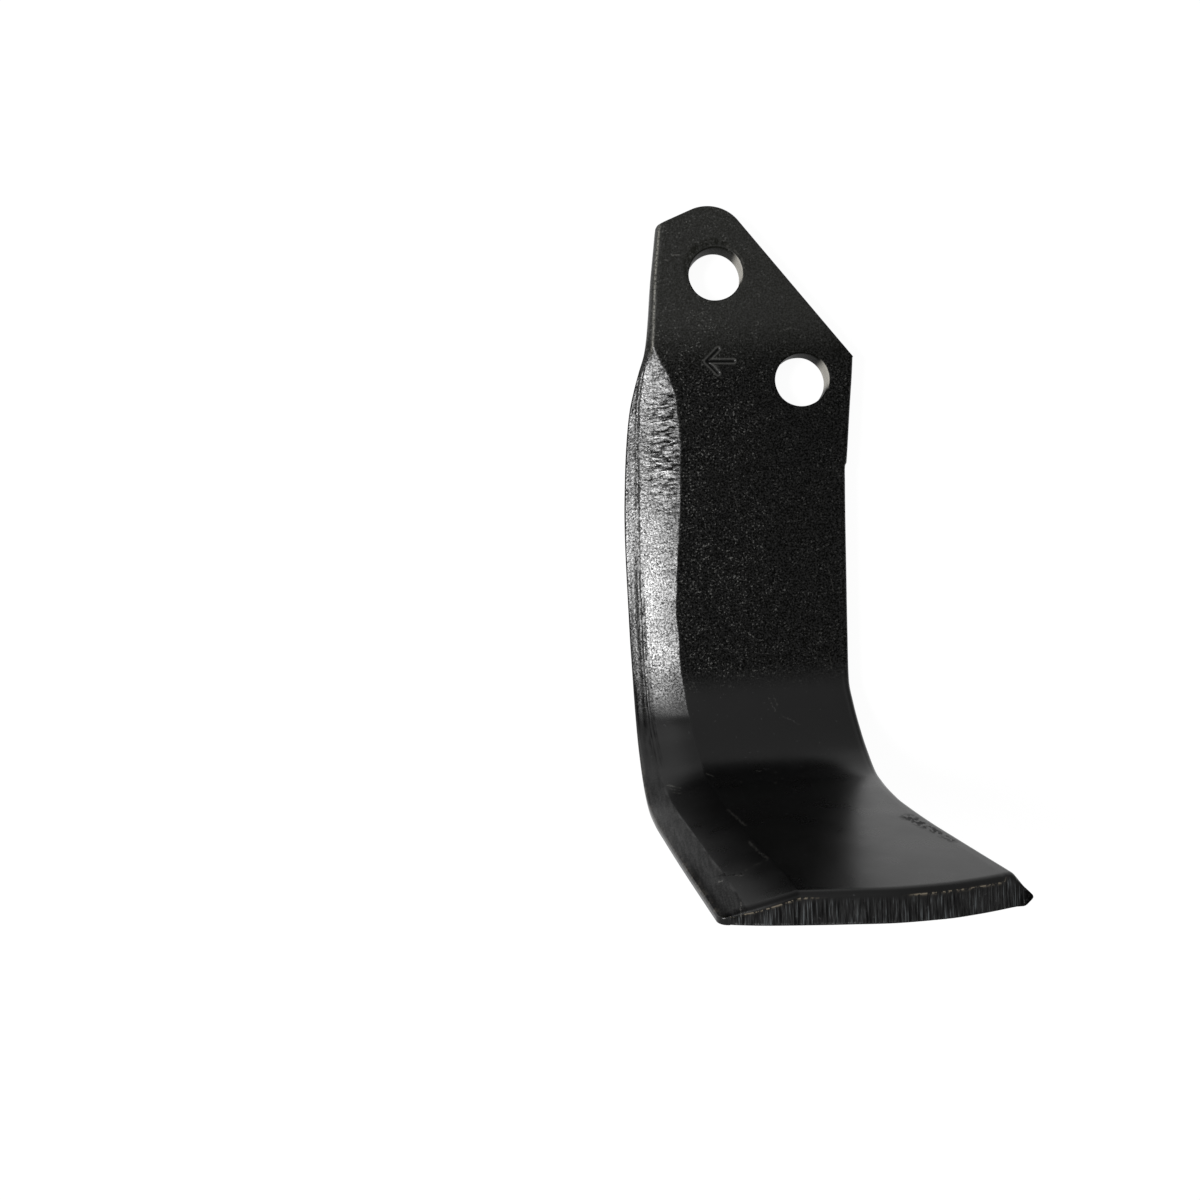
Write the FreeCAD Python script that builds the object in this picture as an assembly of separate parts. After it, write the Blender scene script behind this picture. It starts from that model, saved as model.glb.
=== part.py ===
# Rotary tiller blade, right hand, forged in one piece from flat bar.
#
# Millimetres. The flat shank lies in the XY plane with its outer (convex side)
# face at z = 0 and its inner face at z = thickness. The origin is the centre of
# the upper bolt hole on the outer face. +Y runs along the shank to the bolt
# end, +X to the blunt back edge, +Z to the side that the wing is bent to.
#
# The bar is described in its flat pattern. "b" is the distance along the middle
# of the bar from the line where the bend starts (negative on the shank,
# positive round the bend and out along the wing), "a" is the distance across
# it towards the back edge, and "w" is the height above the middle of the
# thickness, positive on the inner side of the bend.

import FreeCAD, Part
import math
import os

V = FreeCAD.Vector

# ---------------------------------------------------------------- dimensions
thickness = 8.0             # bar thickness

hole_d = 17.0               # both bolt holes, clearance for M16
hole_pitch = 44.0           # distance between the two hole centres
hole_line_deg = -50.7       # direction from the upper hole to the lower one

bend_inner_r = 27.0         # radius on the inner face of the bend
bend_deg = 82.0             # angle that the wing is turned through
bend_skew_deg = 4.0         # the bend line is not quite square to the shank
bend_x, bend_y = 7.9, -133.5   # the point a = 0, b = 0 on the bend line

# bolt end of the shank, in the plane of the shank
tip_corner = (-19.0, 15.6)  # corner between the leading edge and the end cut
tip_cut_deg = 24.2          # slope of the end cut that rises from that corner
tip_round_r = 13.0          # rounded top of the bolt end
tip_round_c = (-2.58, 8.82) # its centre
shear_deg = -49.8           # slope of the long sheared diagonal
back_corner = (44.0, -25.9) # corner between the diagonal and the back edge

# leading edge, a against b. It swells outward where the bevel was forged.
lead_line = [(-175, -13.6), (-150.8, -16.6), (-132, -19.6), (-122.8, -20.8),
             (-115, -22.0), (-109.8, -23.2), (-104.7, -25.1), (-98.9, -27.1),
             (-93, -28.8), (-86, -30.1), (-76.2, -31.4), (-68, -32.2),
             (-58, -33.0), (-46, -33.5), (-30, -33.8), (-14, -34.0),
             (0, -34.0), (12, -33.9), (22, -33.6), (32, -33.1),
             (44, -32.2), (54, -31.2), (65, -29.6), (77, -27.8),
             (88.4, -26.0), (98.8, -24.3), (108.4, -22.7), (118, -21.1),
             (135, -18.4)]

# back edge on the inner face, a against b
back_line = [(-175, 48.4), (-104.5, 43.95), (-86.9, 41.75), (-71, 39.65),
             (-64, 38.7), (-55, 38.15), (-35, 37.1), (-16.4, 36.15),
             (0, 35.5), (8, 36.2), (20, 37.15), (30, 37.5),
             (43, 37.15), (54, 36.8), (64, 37.0), (72, 37.9),
             (85, 39.9), (97, 42.3), (108, 44.6), (118.2, 46.8),
             (135, 50.4)]
# towards the tip the back edge is drawn out into a nose: how far its middle
# and its outer corner stand out past the inner face, a against b
back_nose = [(-175, 0.0), (52, 0.0), (80, 1.3), (105, 3.2), (120, 4.4), (135, 5.2)]
back_outer = [(-175, 0.0), (52, 0.0), (80, 0.5), (105, 1.5), (120, 2.3), (135, 2.8)]
nose_w = -1.8

# where the bevel runs out on the inner face, a against b. Above the bevel this
# is the rolled corner of the shank, 2.3 mm wide.
bevel_line = [(-175, -11.3), (-150.8, -14.3), (-132, -17.3), (-122.8, -18.6),
              (-117.0, -19.5), (-112.2, -20.0), (-106.5, -17.9),
              (-99.9, -15.3), (-92.4, -13.9), (-84.3, -13.4), (-74.7, -13.8),
              (-61.8, -14.8), (-49, -16.2), (-36.3, -17.6), (-23.4, -18.5),
              (-12, -18.4), (0, -17.7), (12, -16.7), (24, -15.6),
              (34, -14.4), (48, -12.9), (66, -10.9), (82, -8.5),
              (96, -6.1), (108, -4.3), (118, -3.0), (135, -0.9)]
# width of the narrow outer facet of the bevel, against b
facet_width = [(-175, 0.8), (-112, 0.8), (-104, 1.4), (-96, 2.4), (-88, 3.2),
               (-78, 3.9), (-64, 4.6), (-50, 4.8), (-36, 4.4), (-20, 4.1),
               (0, 4.0), (14, 4.6), (26, 5.5), (44, 6.2), (80, 6.4), (135, 6.4)]
# metal left at the very edge, against b: from full thickness to a thin edge
edge_left = [(-175, 5.8), (-116, 5.8), (-110, 5.2), (-105, 4.3), (-99.9, 3.4),
             (-92.4, 2.4), (-84.3, 1.8), (-74.7, 1.6), (-60, 1.5), (0, 1.5),
             (60, 1.5), (135, 1.5)]
# slope of that outer facet, against b
facet_slope = [(-175, 1.9), (-118, 1.9), (-112, 1.5), (-106, 0.9), (-98, 0.56),
               (-90, 0.46), (-52, 0.43), (-30, 0.50), (0, 0.50), (24, 0.47),
               (44, 0.53), (98, 0.53), (120, 0.41), (135, 0.40)]

# end of the wing: sheared across on a shallow curve, b against a
end_line = [(-18.8, 119.4), (-11.0, 121.0), (-2.6, 122.1), (8.0, 123.3), (20.0, 124.3),
            (30.0, 123.9), (38.0, 122.6), (47.0, 120.2), (58.0, 116.4)]
end_corner_r = 2.2          # corner between the end cut and the cutting edge

back_edge_r = 1.5           # rolled corners along the back edge
lead_edge_r = 2.2           # rolled inner corner of the shank above the bevel
tip_corner_r = 1.5

# ------------------------------------------------------------ bent bar frame
mid_r = bend_inner_r + thickness / 2.0
bend_rad = math.radians(bend_deg)
bend_len = mid_r * bend_rad
skew = math.radians(bend_skew_deg)
E = V(math.cos(skew), math.sin(skew), 0)        # across the bar, to the back
G = V(math.sin(skew), -math.cos(skew), 0)       # along the bar, to the bend
P0 = V(bend_x, bend_y, 0)


def bent(a, b, w):
    """The point of the bent bar at a, b, w of the flat pattern."""
    r = mid_r - w
    if b <= 0:
        h, z = b, w
    elif b < bend_len:
        p = b / mid_r
        h, z = r * math.sin(p), mid_r - r * math.cos(p)
    else:
        h = r * math.sin(bend_rad) + (b - bend_len) * math.cos(bend_rad)
        z = mid_r - r * math.cos(bend_rad) + (b - bend_len) * math.sin(bend_rad)
    q = P0 + E * a + G * h
    return V(q.x, q.y, thickness / 2.0 + z)


def curve(table):
    """A smooth function through a table, without overshoot between its points."""
    xs = [float(p[0]) for p in table]
    ys = [float(p[1]) for p in table]
    n = len(xs)
    d = [(ys[i + 1] - ys[i]) / (xs[i + 1] - xs[i]) for i in range(n - 1)]
    m = [d[0]] + [0.0] * (n - 2) + [d[-1]]
    for i in range(1, n - 1):
        if d[i - 1] * d[i] > 0:
            h0, h1 = xs[i] - xs[i - 1], xs[i + 1] - xs[i]
            w0, w1 = 2 * h1 + h0, h1 + 2 * h0
            m[i] = (w0 + w1) / (w0 / d[i - 1] + w1 / d[i])

    def f(x):
        x = min(max(x, xs[0]), xs[-1])
        i = 0
        while i < n - 2 and x > xs[i + 1]:
            i += 1
        h = xs[i + 1] - xs[i]
        t = (x - xs[i]) / h
        return ((2 * t**3 - 3 * t**2 + 1) * ys[i] + (t**3 - 2 * t**2 + t) * h * m[i]
                + (-2 * t**3 + 3 * t**2) * ys[i + 1] + (t**3 - t**2) * h * m[i + 1])
    return f


lead, back = curve(lead_line), curve(back_line)
nose, outer_a, slope2 = curve(back_nose), curve(back_outer), curve(facet_slope)
bevel, facet_w, edge_t = curve(bevel_line), curve(facet_width), curve(edge_left)


def tube(stations, corners_at):
    """A solid whose corners follow smooth curves through the same corner of
    every section; the section at b is flat and has its corners at (a, w)."""
    rows = [[bent(a, b, w) for a, w in corners_at(b)] for b in stations]
    span = [(b - stations[0]) / (stations[-1] - stations[0]) for b in stations]
    edges = []
    for j in range(len(rows[0])):
        c = Part.BSplineCurve()
        c.interpolate(Points=[r[j] for r in rows], Parameters=span)
        edges.append(c.toShape())
    n = len(edges)
    faces = [Part.makeRuledSurface(edges[j], edges[(j + 1) % n]) for j in range(n)]
    for r in (rows[0], rows[-1]):
        faces.append(Part.Face(Part.makePolygon(r + [r[0]])))
    shell = Part.makeShell(faces)
    shell.sewShape()
    solid = Part.makeSolid(shell)
    if solid.Volume < 0:
        solid.reverse()
    return solid


# -------------------------------------------------------------- the bent bar
# Flat shank, round bend and flat wing as one profile, swept across the bar.
half = thickness / 2.0
reach = 60.0
back_far, wing_far = -172.0, 136.0


def profile_edge(w):
    return [Part.makeLine(bent(-reach, back_far, w), bent(-reach, 0, w)),
            Part.Arc(bent(-reach, 0, w), bent(-reach, bend_len / 2, w),
                     bent(-reach, bend_len, w)).toShape(),
            Part.makeLine(bent(-reach, bend_len, w), bent(-reach, wing_far, w))]


outer, inner = profile_edge(-half), profile_edge(half)
profile = Part.Wire(outer + [Part.makeLine(bent(-reach, wing_far, -half),
                                           bent(-reach, wing_far, half))]
                    + inner[::-1] + [Part.makeLine(bent(-reach, back_far, half),
                                                   bent(-reach, back_far, -half))])
bar = Part.Face(profile).extrude(E * (2 * reach + 20))

# ------------------------------------------------- leading and back edges
over = 7.0
stations = [-171, -160, -150, -141, -132, -126, -120, -115, -110, -105, -100, -95, -89,
            -82, -75, -68, -60, -52, -42, -32, -22, -11, 0, 5.5, 11, 16.5, 22, 28, 33.5,
            39, bend_len, 50, 57, 65, 74, 84, 94, 104, 114, 124, 134]


def side_section(b):
    a, n, k = back(b), nose(b), outer_a(b)
    return [(lead(b), -half - over), (a + k - over * (n - k) / (half + nose_w), -half - over),
            (a + n, nose_w), (a - over * n / (half - nose_w), half + over),
            (lead(b), half + over)]


strip = tube(stations, side_section)
blade = bar.common(strip)

# ------------------------------------------------------------- bolt end
u = math.radians(tip_cut_deg)
v = math.radians(shear_deg)
cx, cy = tip_round_c
t1 = (cx - tip_round_r * math.sin(u), cy + tip_round_r * math.cos(u))
tm = (cx + tip_round_r * math.sin(math.radians(12)), cy + tip_round_r * math.cos(math.radians(12)))
t2 = (cx + tip_round_r * math.sin(-v), cy + tip_round_r * math.cos(v))
far = 60.0
s1 = (t1[0] - far * math.cos(u), t1[1] - far * math.sin(u))
L = (back_corner[0] - t2[0]) / math.cos(v) + 40.0
s2 = (t2[0] + L * math.cos(v), t2[1] + L * math.sin(v))


def at(p, z=-20.0):
    return V(p[0], p[1], z)


end_wire = Part.Wire([Part.makeLine(at(s1), at(t1)),
                      Part.Arc(at(t1), at(tm), at(t2)).toShape(),
                      Part.makeLine(at(t2), at(s2)),
                      Part.makeLine(at(s2), at((s2[0], -260.0))),
                      Part.makeLine(at((s2[0], -260.0)), at((s1[0], -260.0))),
                      Part.makeLine(at((s1[0], -260.0)), at(s1))])
blade = blade.common(Part.Face(end_wire).extrude(V(0, 0, 200)))

# ---------------------------------------------------------- end of the wing
# The cut is square to the wing, on a shallow arc, with one rounded corner.
deep = 12.0
lead_dir = (lead(118.0) - lead(108.0)) / 10.0       # lean of the cutting edge


def wing_pt(p, w):
    return bent(p[0], p[1], w)


def wing_line(p, q):
    return Part.makeLine(wing_pt(p, -deep), wing_pt(q, -deep))


c_end = end_line[0]
c0 = (lead(118.9), 118.9)                           # where cut and edge would meet
c_mid = (c0[0] + 0.27 * end_corner_r, c0[1] - 0.27 * end_corner_r)
c_edge = (c0[0] - lead_dir * end_corner_r, c0[1] - end_corner_r)
c_off = (c_edge[0] - 8.0, c_edge[1] - 1.0)
b_out = end_line[-1]
end_curve = Part.BSplineCurve()
end_curve.interpolate([wing_pt(p, -deep) for p in end_line])
corner_arc = Part.Arc(wing_pt(c_edge, -deep), wing_pt(c_mid, -deep), wing_pt(c_end, -deep)).toShape()
cut_far = Part.Wire([corner_arc, end_curve.toShape(), wing_line(b_out, (b_out[0], 165)),
                     wing_line((b_out[0], 165), (c_off[0], 165)),
                     wing_line((c_off[0], 165), c_off), wing_line(c_off, c_edge)])
wing_n = bent(0, 100, 1) - bent(0, 100, 0)
blade = blade.cut(Part.Face(cut_far).extrude(wing_n * (2 * deep)))

# ----------------------------------------------------------------- the bevel
bevel_stations = [-171, -160, -150, -141, -132, -126, -121, -117, -113.5, -110, -106.5,
                  -103, -99, -95, -89, -82, -75, -68, -60, -52, -42, -32, -22, -11, 0,
                  5.5, 11, 16.5, 22, 28, 33.5, 39, bend_len, 50, 57, 65, 74, 84, 94, 104,
                  114, 124, 134]


def bevel_section(b):
    a0, a2 = lead(b), bevel(b)
    a1 = a0 + facet_w(b)
    drop = thickness - edge_t(b)
    d2 = min(slope2(b) * (a1 - a0), 0.75 * drop)
    w0, w1 = half - drop, half - drop + d2
    main, sec = (half - w1) / (a2 - a1), d2 / (a1 - a0)
    up = 3.5
    return [(a0 - 5.0, w0 - 5.0 * sec), (a1, w1), (a2 + up / main, half + up),
            (a2 + up / main, half + 9.0), (a0 - 5.0, half + 9.0)]


cutter = tube(bevel_stations, bevel_section)
blade = blade.cut(cutter)

# ------------------------------------------------------------- bolt holes
h2 = (hole_pitch * math.cos(math.radians(hole_line_deg)),
      hole_pitch * math.sin(math.radians(hole_line_deg)))
for hx, hy in ((0.0, 0.0), h2):
    blade = blade.cut(Part.makeCylinder(hole_d / 2, 3 * thickness, V(hx, hy, -thickness)))

# --------------------------------------------------- rolled back corners
def flat(p):
    """a, b, w of a point of the bent bar."""
    q = V(p.x, p.y, 0) - P0
    a, h, z = q.dot(E), q.dot(G), p.z - half
    if h <= 0 and z <= half + 0.01:
        return a, h, z
    dz = mid_r - z
    p_ = math.atan2(h, dz)
    if p_ <= bend_rad and dz > 0:
        return a, mid_r * p_, mid_r - math.hypot(h, dz)
    c, s_ = math.cos(bend_rad), math.sin(bend_rad)
    along = h * c + (z - mid_r) * s_
    return a, bend_len + along, mid_r - (h * s_ - (z - mid_r) * c)


def mid(edge):
    f, l = edge.ParameterRange
    return edge.valueAt((f + l) / 2)


if blade.ShapeType != "Solid":
    blade = blade.Solids[0]
rolled = []
for e in blade.Edges:
    a, b, w = flat(mid(e))
    ends = [flat(v.Point) for v in e.Vertexes]
    if len(ends) == 2 and abs(ends[0][1] - ends[1][1]) < 2.0:
        continue
    on_in = abs(w - half) < 0.02 and abs(a - back(b)) < 0.1
    on_out = abs(w + half) < 0.02 and abs(a - back(b) - outer_a(b)) < 0.1
    if on_in or on_out:
        rolled.append(e)
print("rolled edges", len(rolled))
blade = blade.makeFillet(back_edge_r, rolled)

if blade.ShapeType != "Solid":
    blade = blade.Solids[0]

print("solid", blade.isValid(), "volume", round(blade.Volume, 1), "faces", len(blade.Faces),
      "box", [round(x, 2) for x in (blade.BoundBox.XMin, blade.BoundBox.XMax, blade.BoundBox.YMin,
                                   blade.BoundBox.YMax, blade.BoundBox.ZMin, blade.BoundBox.ZMax)])
print("hole 2", h2)

os.makedirs("parts", exist_ok=True)
blade.exportStep("parts/blade.step")
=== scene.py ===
import bpy
import math
import numpy as np
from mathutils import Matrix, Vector
from mathutils.geometry import delaunay_2d_cdt


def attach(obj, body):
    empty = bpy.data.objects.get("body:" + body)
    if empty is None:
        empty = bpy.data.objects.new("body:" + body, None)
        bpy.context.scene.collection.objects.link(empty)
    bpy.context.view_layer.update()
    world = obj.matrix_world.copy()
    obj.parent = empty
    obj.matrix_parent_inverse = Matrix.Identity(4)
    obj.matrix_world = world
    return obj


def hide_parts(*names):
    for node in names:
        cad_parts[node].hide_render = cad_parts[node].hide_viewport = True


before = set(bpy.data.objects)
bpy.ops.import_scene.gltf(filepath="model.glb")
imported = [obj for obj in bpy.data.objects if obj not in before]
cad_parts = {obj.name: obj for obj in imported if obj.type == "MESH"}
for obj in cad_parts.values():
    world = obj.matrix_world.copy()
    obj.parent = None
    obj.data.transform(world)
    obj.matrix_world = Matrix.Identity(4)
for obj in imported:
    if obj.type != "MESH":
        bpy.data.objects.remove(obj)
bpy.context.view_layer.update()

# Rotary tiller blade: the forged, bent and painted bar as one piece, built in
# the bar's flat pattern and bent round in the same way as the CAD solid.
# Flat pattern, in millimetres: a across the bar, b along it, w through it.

# ------------------------------------------------------------------ the tables
HALF = 4.0
MID = 31.0
BEND = math.radians(82.0)
LB = MID * BEND
SK = math.radians(4.0)
EX, EY = math.cos(SK), math.sin(SK)
GX, GY = math.sin(SK), -math.cos(SK)
PX, PY = 7.9, -133.5

lead_line = [(-175, -13.6), (-150.8, -16.6), (-132, -19.6), (-122.8, -20.8),
             (-115, -22.0), (-109.8, -23.2), (-104.7, -25.1), (-98.9, -27.1),
             (-93, -28.8), (-86, -30.1), (-76.2, -31.4), (-68, -32.2),
             (-58, -33.0), (-46, -33.5), (-30, -33.8), (-14, -34.0),
             (0, -34.0), (12, -33.9), (22, -33.6), (32, -33.1),
             (44, -32.2), (54, -31.2), (65, -29.6), (77, -27.8),
             (88.4, -26.0), (98.8, -24.3), (108.4, -22.7), (118, -21.1),
             (135, -18.4)]
back_line = [(-175, 48.4), (-104.5, 43.95), (-86.9, 41.75), (-71, 39.72),
             (-70.2, 39.60), (-69.5, 39.12), (-64, 38.7), (-55, 38.15), (-35, 37.1), (-16.4, 36.15),
             (0, 35.5), (8, 36.2), (20, 37.15), (30, 37.5),
             (43, 37.15), (54, 36.8), (64, 37.0), (72, 37.9),
             (85, 39.9), (97, 42.3), (108, 44.6), (118.2, 46.8),
             (135, 50.4)]
back_nose = [(-175, 0.0), (52, 0.0), (80, 1.3), (105, 3.2), (120, 4.4), (135, 5.2)]
back_outer = [(-175, 0.0), (52, 0.0), (80, 0.5), (105, 1.5), (120, 2.3), (135, 2.8)]
NOSE_W = -1.8
bevel_line = [(-175, -11.3), (-150.8, -14.3), (-132, -17.3), (-122.8, -18.6),
              (-117.0, -19.5), (-112.2, -20.0), (-106.5, -17.9),
              (-99.9, -15.3), (-92.4, -13.9), (-84.3, -13.4), (-74.7, -13.8),
              (-61.8, -14.8), (-49, -16.2), (-36.3, -17.6), (-23.4, -18.5),
              (-12, -18.4), (0, -17.7), (12, -16.7), (24, -15.6),
              (34, -14.4), (48, -12.9), (66, -10.9), (82, -8.5),
              (96, -6.1), (108, -4.3), (118, -3.0), (135, -0.9)]
facet_width = [(-175, 0.8), (-112, 0.8), (-104, 1.4), (-96, 2.4), (-88, 3.2),
               (-78, 3.9), (-64, 4.6), (-50, 4.8), (-36, 4.4), (-20, 4.1),
               (0, 4.0), (14, 4.6), (26, 5.5), (44, 6.2), (80, 6.4), (135, 6.4)]
edge_left = [(-175, 5.8), (-116, 5.8), (-110, 5.2), (-105, 4.3), (-99.9, 3.4),
             (-92.4, 2.4), (-84.3, 1.8), (-74.7, 1.6), (-60, 1.5), (0, 1.5),
             (60, 1.5), (135, 1.5)]
facet_slope = [(-175, 1.9), (-118, 1.9), (-112, 1.5), (-106, 0.9), (-98, 0.56),
               (-90, 0.46), (-52, 0.43), (-30, 0.50), (0, 0.50), (24, 0.47),
               (44, 0.53), (98, 0.53), (120, 0.41), (135, 0.40)]
end_line = [(-18.8, 119.4), (-11.0, 121.0), (-2.6, 122.1), (8.0, 123.3), (20.0, 124.3),
            (30.0, 123.9), (38.0, 122.6), (47.0, 120.2), (58.0, 116.4)]
END_R = 2.2
HOLE_R = 8.5
HOLES = [(0.0, 0.0), (44 * math.cos(math.radians(-50.7)), 44 * math.sin(math.radians(-50.7)))]


def curve(table):
    """A smooth function through a table, without overshoot between its points."""
    xs = np.array([p[0] for p in table], float)
    ys = np.array([p[1] for p in table], float)
    hs = np.diff(xs)
    d = np.diff(ys) / hs
    m = np.zeros(len(xs))
    m[0], m[-1] = d[0], d[-1]
    for i in range(1, len(xs) - 1):
        if d[i - 1] * d[i] > 0:
            w0, w1 = 2 * hs[i] + hs[i - 1], hs[i] + 2 * hs[i - 1]
            m[i] = (w0 + w1) / (w0 / d[i - 1] + w1 / d[i])

    def f(x):
        x = np.clip(np.asarray(x, float), xs[0], xs[-1])
        i = np.clip(np.searchsorted(xs, x, side="right") - 1, 0, len(xs) - 2)
        h = hs[i]
        t = (x - xs[i]) / h
        return ((2 * t**3 - 3 * t**2 + 1) * ys[i] + (t**3 - 2 * t**2 + t) * h * m[i]
                + (-2 * t**3 + 3 * t**2) * ys[i + 1] + (t**3 - t**2) * h * m[i + 1])
    return f


lead, back, bevel = curve(lead_line), curve(back_line), curve(bevel_line)
nose, outer_a = curve(back_nose), curve(back_outer)
facet_w, edge_t, slope2 = curve(facet_width), curve(edge_left), curve(facet_slope)
end_b = curve(end_line)


def bent(f):
    """Points a, b, w of the flat pattern to x, y, z of the bent bar, in mm."""
    a, b, w = f[:, 0], f[:, 1], f[:, 2]
    r = MID - w
    p = np.clip(b / MID, 0.0, BEND)
    low, high = np.minimum(b, 0.0), np.maximum(b - LB, 0.0)
    h = r * np.sin(p) + low + high * math.cos(BEND)
    z = MID - r * np.cos(p) + high * math.sin(BEND)
    return np.stack([PX + EX * a + GX * h, PY + EY * a + GY * h, z + HALF], 1)


def to_flat(x, y):
    """x, y on the flat shank to a, b."""
    return (x - PX) * EX + (y - PY) * EY, (x - PX) * GX + (y - PY) * GY


# ------------------------------------------------------------------ small tools
_lattice = {}


def noise(x, y, seed):
    """Smooth random values from -1 to 1 over a plane, one unit apart."""
    if seed not in _lattice:
        _lattice[seed] = np.random.default_rng(seed).uniform(-1, 1, (256, 256))
    g = _lattice[seed]
    x, y = np.broadcast_arrays(np.asarray(x, float), np.asarray(y, float))
    xi, yi = np.floor(x).astype(int), np.floor(y).astype(int)
    u, v = x - xi, y - yi
    u = u * u * u * (u * (u * 6 - 15) + 10)
    v = v * v * v * (v * (v * 6 - 15) + 10)
    g00, g10 = g[xi % 256, yi % 256], g[(xi + 1) % 256, yi % 256]
    g01, g11 = g[xi % 256, (yi + 1) % 256], g[(xi + 1) % 256, (yi + 1) % 256]
    return (g00 * (1 - u) + g10 * u) * (1 - v) + (g01 * (1 - u) + g11 * u) * v


def smooth(x, lo, hi):
    t = np.clip((np.asarray(x, float) - lo) / (hi - lo), 0.0, 1.0)
    return t * t * (3 - 2 * t)


def hump(x, c, s):
    return np.exp(-((x - c) / s) ** 2)


def smin(x, y, k):
    h = np.clip(k - np.abs(x - y), 0.0, None) / k
    return np.minimum(x, y) - h * h * k / 4.0


def seg_dist(x, y, path):
    """Distance to a polyline."""
    best = np.full(np.shape(x), 1e9)
    for (x0, y0), (x1, y1) in zip(path[:-1], path[1:]):
        dx, dy = x1 - x0, y1 - y0
        t = np.clip(((x - x0) * dx + (y - y0) * dy) / (dx * dx + dy * dy + 1e-12), 0, 1)
        best = np.minimum(best, np.hypot(x - x0 - t * dx, y - y0 - t * dy))
    return best


# ---------------------------------------------------------- shape of the faces
def crest(b):
    """Where the bevel runs out, with its small forged waver."""
    return bevel(b) + smooth(b, -112, -100) * (0.16 * noise(b / 3.1, 0.3, 21)
                                               + 0.22 * noise(b / 8.7, 0.7, 22))


def fold(b):
    """The line between the outer facet and the main facet of the bevel."""
    return lead(b) + facet_w(b)


def base_w(a, b):
    """Height of the inner face before its small detail."""
    a0, a1, a2 = lead(b), fold(b), crest(b)
    drop = 2 * HALF - edge_t(b)
    d2 = np.minimum(slope2(b) * (a1 - a0), 0.75 * drop)
    w1 = HALF - drop + d2
    main, sec = (HALF - w1) / (a2 - a1), d2 / (a1 - a0)
    k1 = np.interp(b, [-118, -108, -98], [0.45, 0.22, 0.09])
    k2 = np.interp(b, [-118, -106, -95], [0.50, 0.20, 0.05])
    m = smin(np.full(np.shape(a), HALF), w1 + (a - a1) * main, k1)
    return smin(m, w1 + (a - a1) * sec, k2)


def stamp_path():
    """The direction mark stamped in the shank, as strokes in x, y of the row."""
    cx, cy = 1.5, -28.2
    return [[(cx + 4.4, cy), (cx - 4.2, cy)],
            [(cx - 0.6, cy + 3.9), (cx - 4.4, cy), (cx - 0.6, cy - 3.9)]]


STAMP = [[to_flat(x, y) for x, y in s] for s in stamp_path()]
STAMP_C = to_flat(1.5, -28.2)


def creases(a, b):
    """Wavy creases across the bevel, strongest where it starts."""
    a1, a2 = fold(b), crest(b)
    on_main = smooth(a - a1, 0.6, 2.2) * smooth(a2 - a, -0.2, 1.2)
    reach = smooth(b, -112, -104) * (1 - 0.80 * smooth(b, -72, -52)) * (1 - smooth(b, -30, 5))
    warp_ = 1.0 * noise(a / 6.0, b / 9.0, 41) + 0.25 * noise(a / 1.7, b / 3.0, 42)
    ridge = (noise(a / 7.0, (b + warp_) / 0.72, 43) + 0.5 * noise(a / 3.6, (b + warp_) / 0.55, 44))
    side = 0.35 + 0.65 * smooth(a - a1, 1.0, 11.0)
    share = reach * on_main * side
    return share * ridge, share


def grooves(a, b):
    """The double groove along the fold of the bevel: how deep, as a share."""
    gr = smooth(b, -112, -100) * (1 - smooth(b, 14, 30))
    wav = 0.12 * noise(b / 2.3, 0.1, 51) + 0.15 * noise(b / 9.0, 0.5, 52)
    d = a - fold(b) - wav
    t = smooth(b, -78, -45)
    lines = [(-0.95 - 0.60 * t, 0.22, 1.0, 1.4, 53), (0.20 - 0.40 * t, 0.25, 1.0, 1.7, 54),
             (-0.95, 0.20, 0.7 * t, 2.1, 56), (0.65 + 0.3 * smooth(b, -30, 5), 0.26, 0.9 * smooth(b, -50, -28), 1.9, 57),
             (-2.6, 0.22, 0.55 * smooth(b, -50, -25), 2.4, 58), (1.5, 0.24, 0.7 * smooth(b, -18, -4), 1.3, 59)]
    total = np.zeros(np.shape(a))
    for pos, wide, amount, period, seed in lines:
        total = np.maximum(total, amount * hump(d, pos, wide)
                           * np.clip(0.8 + 0.5 * noise(b / period, 0.2, seed), 0, 1))
    return gr * total


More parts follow.
